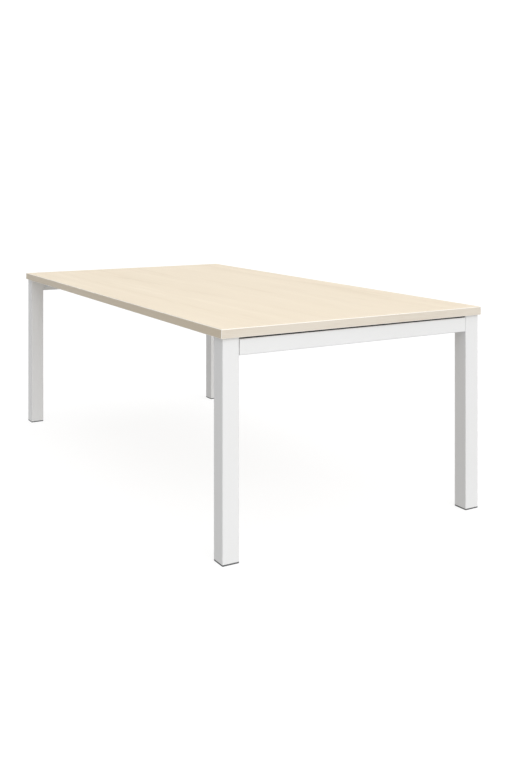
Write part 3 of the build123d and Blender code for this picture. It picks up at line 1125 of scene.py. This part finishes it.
# %% [markdown]
# ## Glide pads
# The dark square under each leg is one moulding: a pad with softened edges, a pocket for the
# stud's flange with a hole for the key below it and a narrower neck above it, and two pins that
# slide in the plug and keep the pad square to the leg while the stud turns. The pad is lofted from
# its outline and drilled three times, and the pins are added after that.

# %% A glide pad
PAD_HEIGHT = 5 * MM
PAD_RADIUS = 3 * MM
PAD_SOFT_BOTTOM = 0.8 * MM
PAD_SOFT_TOP = 0.35 * MM
PIN_RADIUS = 3 * MM
PIN_OFFSET = 17 * MM
PIN_POINTS = 32
# A softened edge is two short flats: this is the share of its width at which they meet.
SOFT_BEND = 0.3
# Each drilling has a height above the pad's foot, a radius and the reach to either side of that.
KEY_HOLE = (0, 4 * MM, 2 * MM)
FLANGE_POCKET = (2.75 * MM, 8.3 * MM, 1.55 * MM)
NECK_HOLE = (PAD_HEIGHT, 5.4 * MM, 1.5 * MM)
# Each ring of a pin's tip has a radius smaller than the pin's and a distance below its end.
PIN_TIP = ((0, 0.8 * MM), (0.25 * MM, 0.2 * MM), (0.8 * MM, 0))


def glide_pad(corner):
    """Builds one glide: the drilled pad first, then its two pins."""
    node_name = f"glide_pad_{corner}"
    low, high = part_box(node_name)
    middle = middle_of(node_name)
    size = high[0] - low[0]
    rings = []
    for depth, height in (
        (PAD_SOFT_BOTTOM, 0),
        (PAD_SOFT_BOTTOM * SOFT_BEND, PAD_SOFT_BOTTOM * SOFT_BEND),
        (0, PAD_SOFT_BOTTOM),
        (0, PAD_HEIGHT - PAD_SOFT_TOP),
        (PAD_SOFT_TOP * SOFT_BEND, PAD_HEIGHT - PAD_SOFT_TOP * SOFT_BEND),
        (PAD_SOFT_TOP, PAD_HEIGHT),
    ):
        outline = rounded_rectangle(size - 2 * depth, size - 2 * depth, PAD_RADIUS - depth)
        rings.append([(middle.x + x, middle.y + y, low[2] + height) for x, y in outline])
    shape = bmesh.new()
    loops = skin(shape, rings)
    cap(shape, loops[0])
    cap(shape, loops[-1])
    bmesh.ops.recalc_face_normals(shape, faces=shape.faces[:])
    for rise, radius, reach in (KEY_HOLE, FLANGE_POCKET, NECK_HOLE):
        centre = Vector((middle.x, middle.y, low[2] + rise))
        shape = drill(shape, [(centre, (0, 0, 1), radius, reach)])
    pin_profile = [(PIN_RADIUS, low[2] + PAD_HEIGHT / 2)]
    pin_profile += [(PIN_RADIUS - less, high[2] - below) for less, below in PIN_TIP]
    for side in (-1, 1):
        centre = Vector((middle.x + side * PIN_OFFSET, middle.y - side * PIN_OFFSET, 0))
        pin_rings = [at_height(circle(radius, PIN_POINTS), z) for radius, z in pin_profile]
        loops = skin(shape, [[centre + Vector(point) for point in ring] for ring in pin_rings])
        cap(shape, loops[0])
        cap(shape, loops[-1])
    name = f"glide_{corner}_moulding"
    make_piece(name, shape, (glide_plastic,), [node_name], f"glide_{corner}")
    return round(size / MM)


print("glide pads in mm:", [glide_pad(corner) for corner in CORNERS])

# %% [markdown]
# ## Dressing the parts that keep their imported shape
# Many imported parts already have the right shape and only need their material. They come with
# knife-sharp edges, though, and a real edge always catches some light. A weld modifier joins the
# split corners and a narrow bevel breaks every edge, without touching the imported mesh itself.

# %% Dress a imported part
WELD_DISTANCE = 0.001 * MM
BREAK_ANGLE = math.radians(35)


def dress(node_name, material, edge_break):
    """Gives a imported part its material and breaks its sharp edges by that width."""
    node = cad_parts[node_name]
    node.data.materials.clear()
    node.data.materials.append(material)
    weld = node.modifiers.new("weld", "WELD")
    weld.merge_threshold = WELD_DISTANCE
    bevel = node.modifiers.new("edge_break", "BEVEL")
    bevel.width = edge_break
    bevel.segments = 2
    bevel.limit_method = "ANGLE"
    bevel.angle_limit = BREAK_ANGLE


dress("top_board", melamine, 0.1 * MM)
dress("gap_spacers", black_nylon, 0.3 * MM)
for corner in CORNERS:
    dress(f"leg_cap_{corner}", white_cap_plastic, 0.3 * MM)
    dress(f"foot_plug_{corner}", black_nylon, 0.2 * MM)
    dress(f"corner_bracket_{corner}", powder_coat, 0.5 * MM)
    dress(f"beam_bracket_{corner}", powder_coat, 0.5 * MM)
for hidden_metal in ("foot_nuts", "board_inserts", "corner_rivet_nuts", "beam_rivet_nuts"):
    dress(hidden_metal, zinc, 0.2 * MM)
# The gap strips' black stands in for the gap's shadow: painted shade.
for end in ENDS:
    dress(f"gap_strip_{end}", gap_shade_rubber, 0.5 * MM)
print("dressed the packed parts that stay")
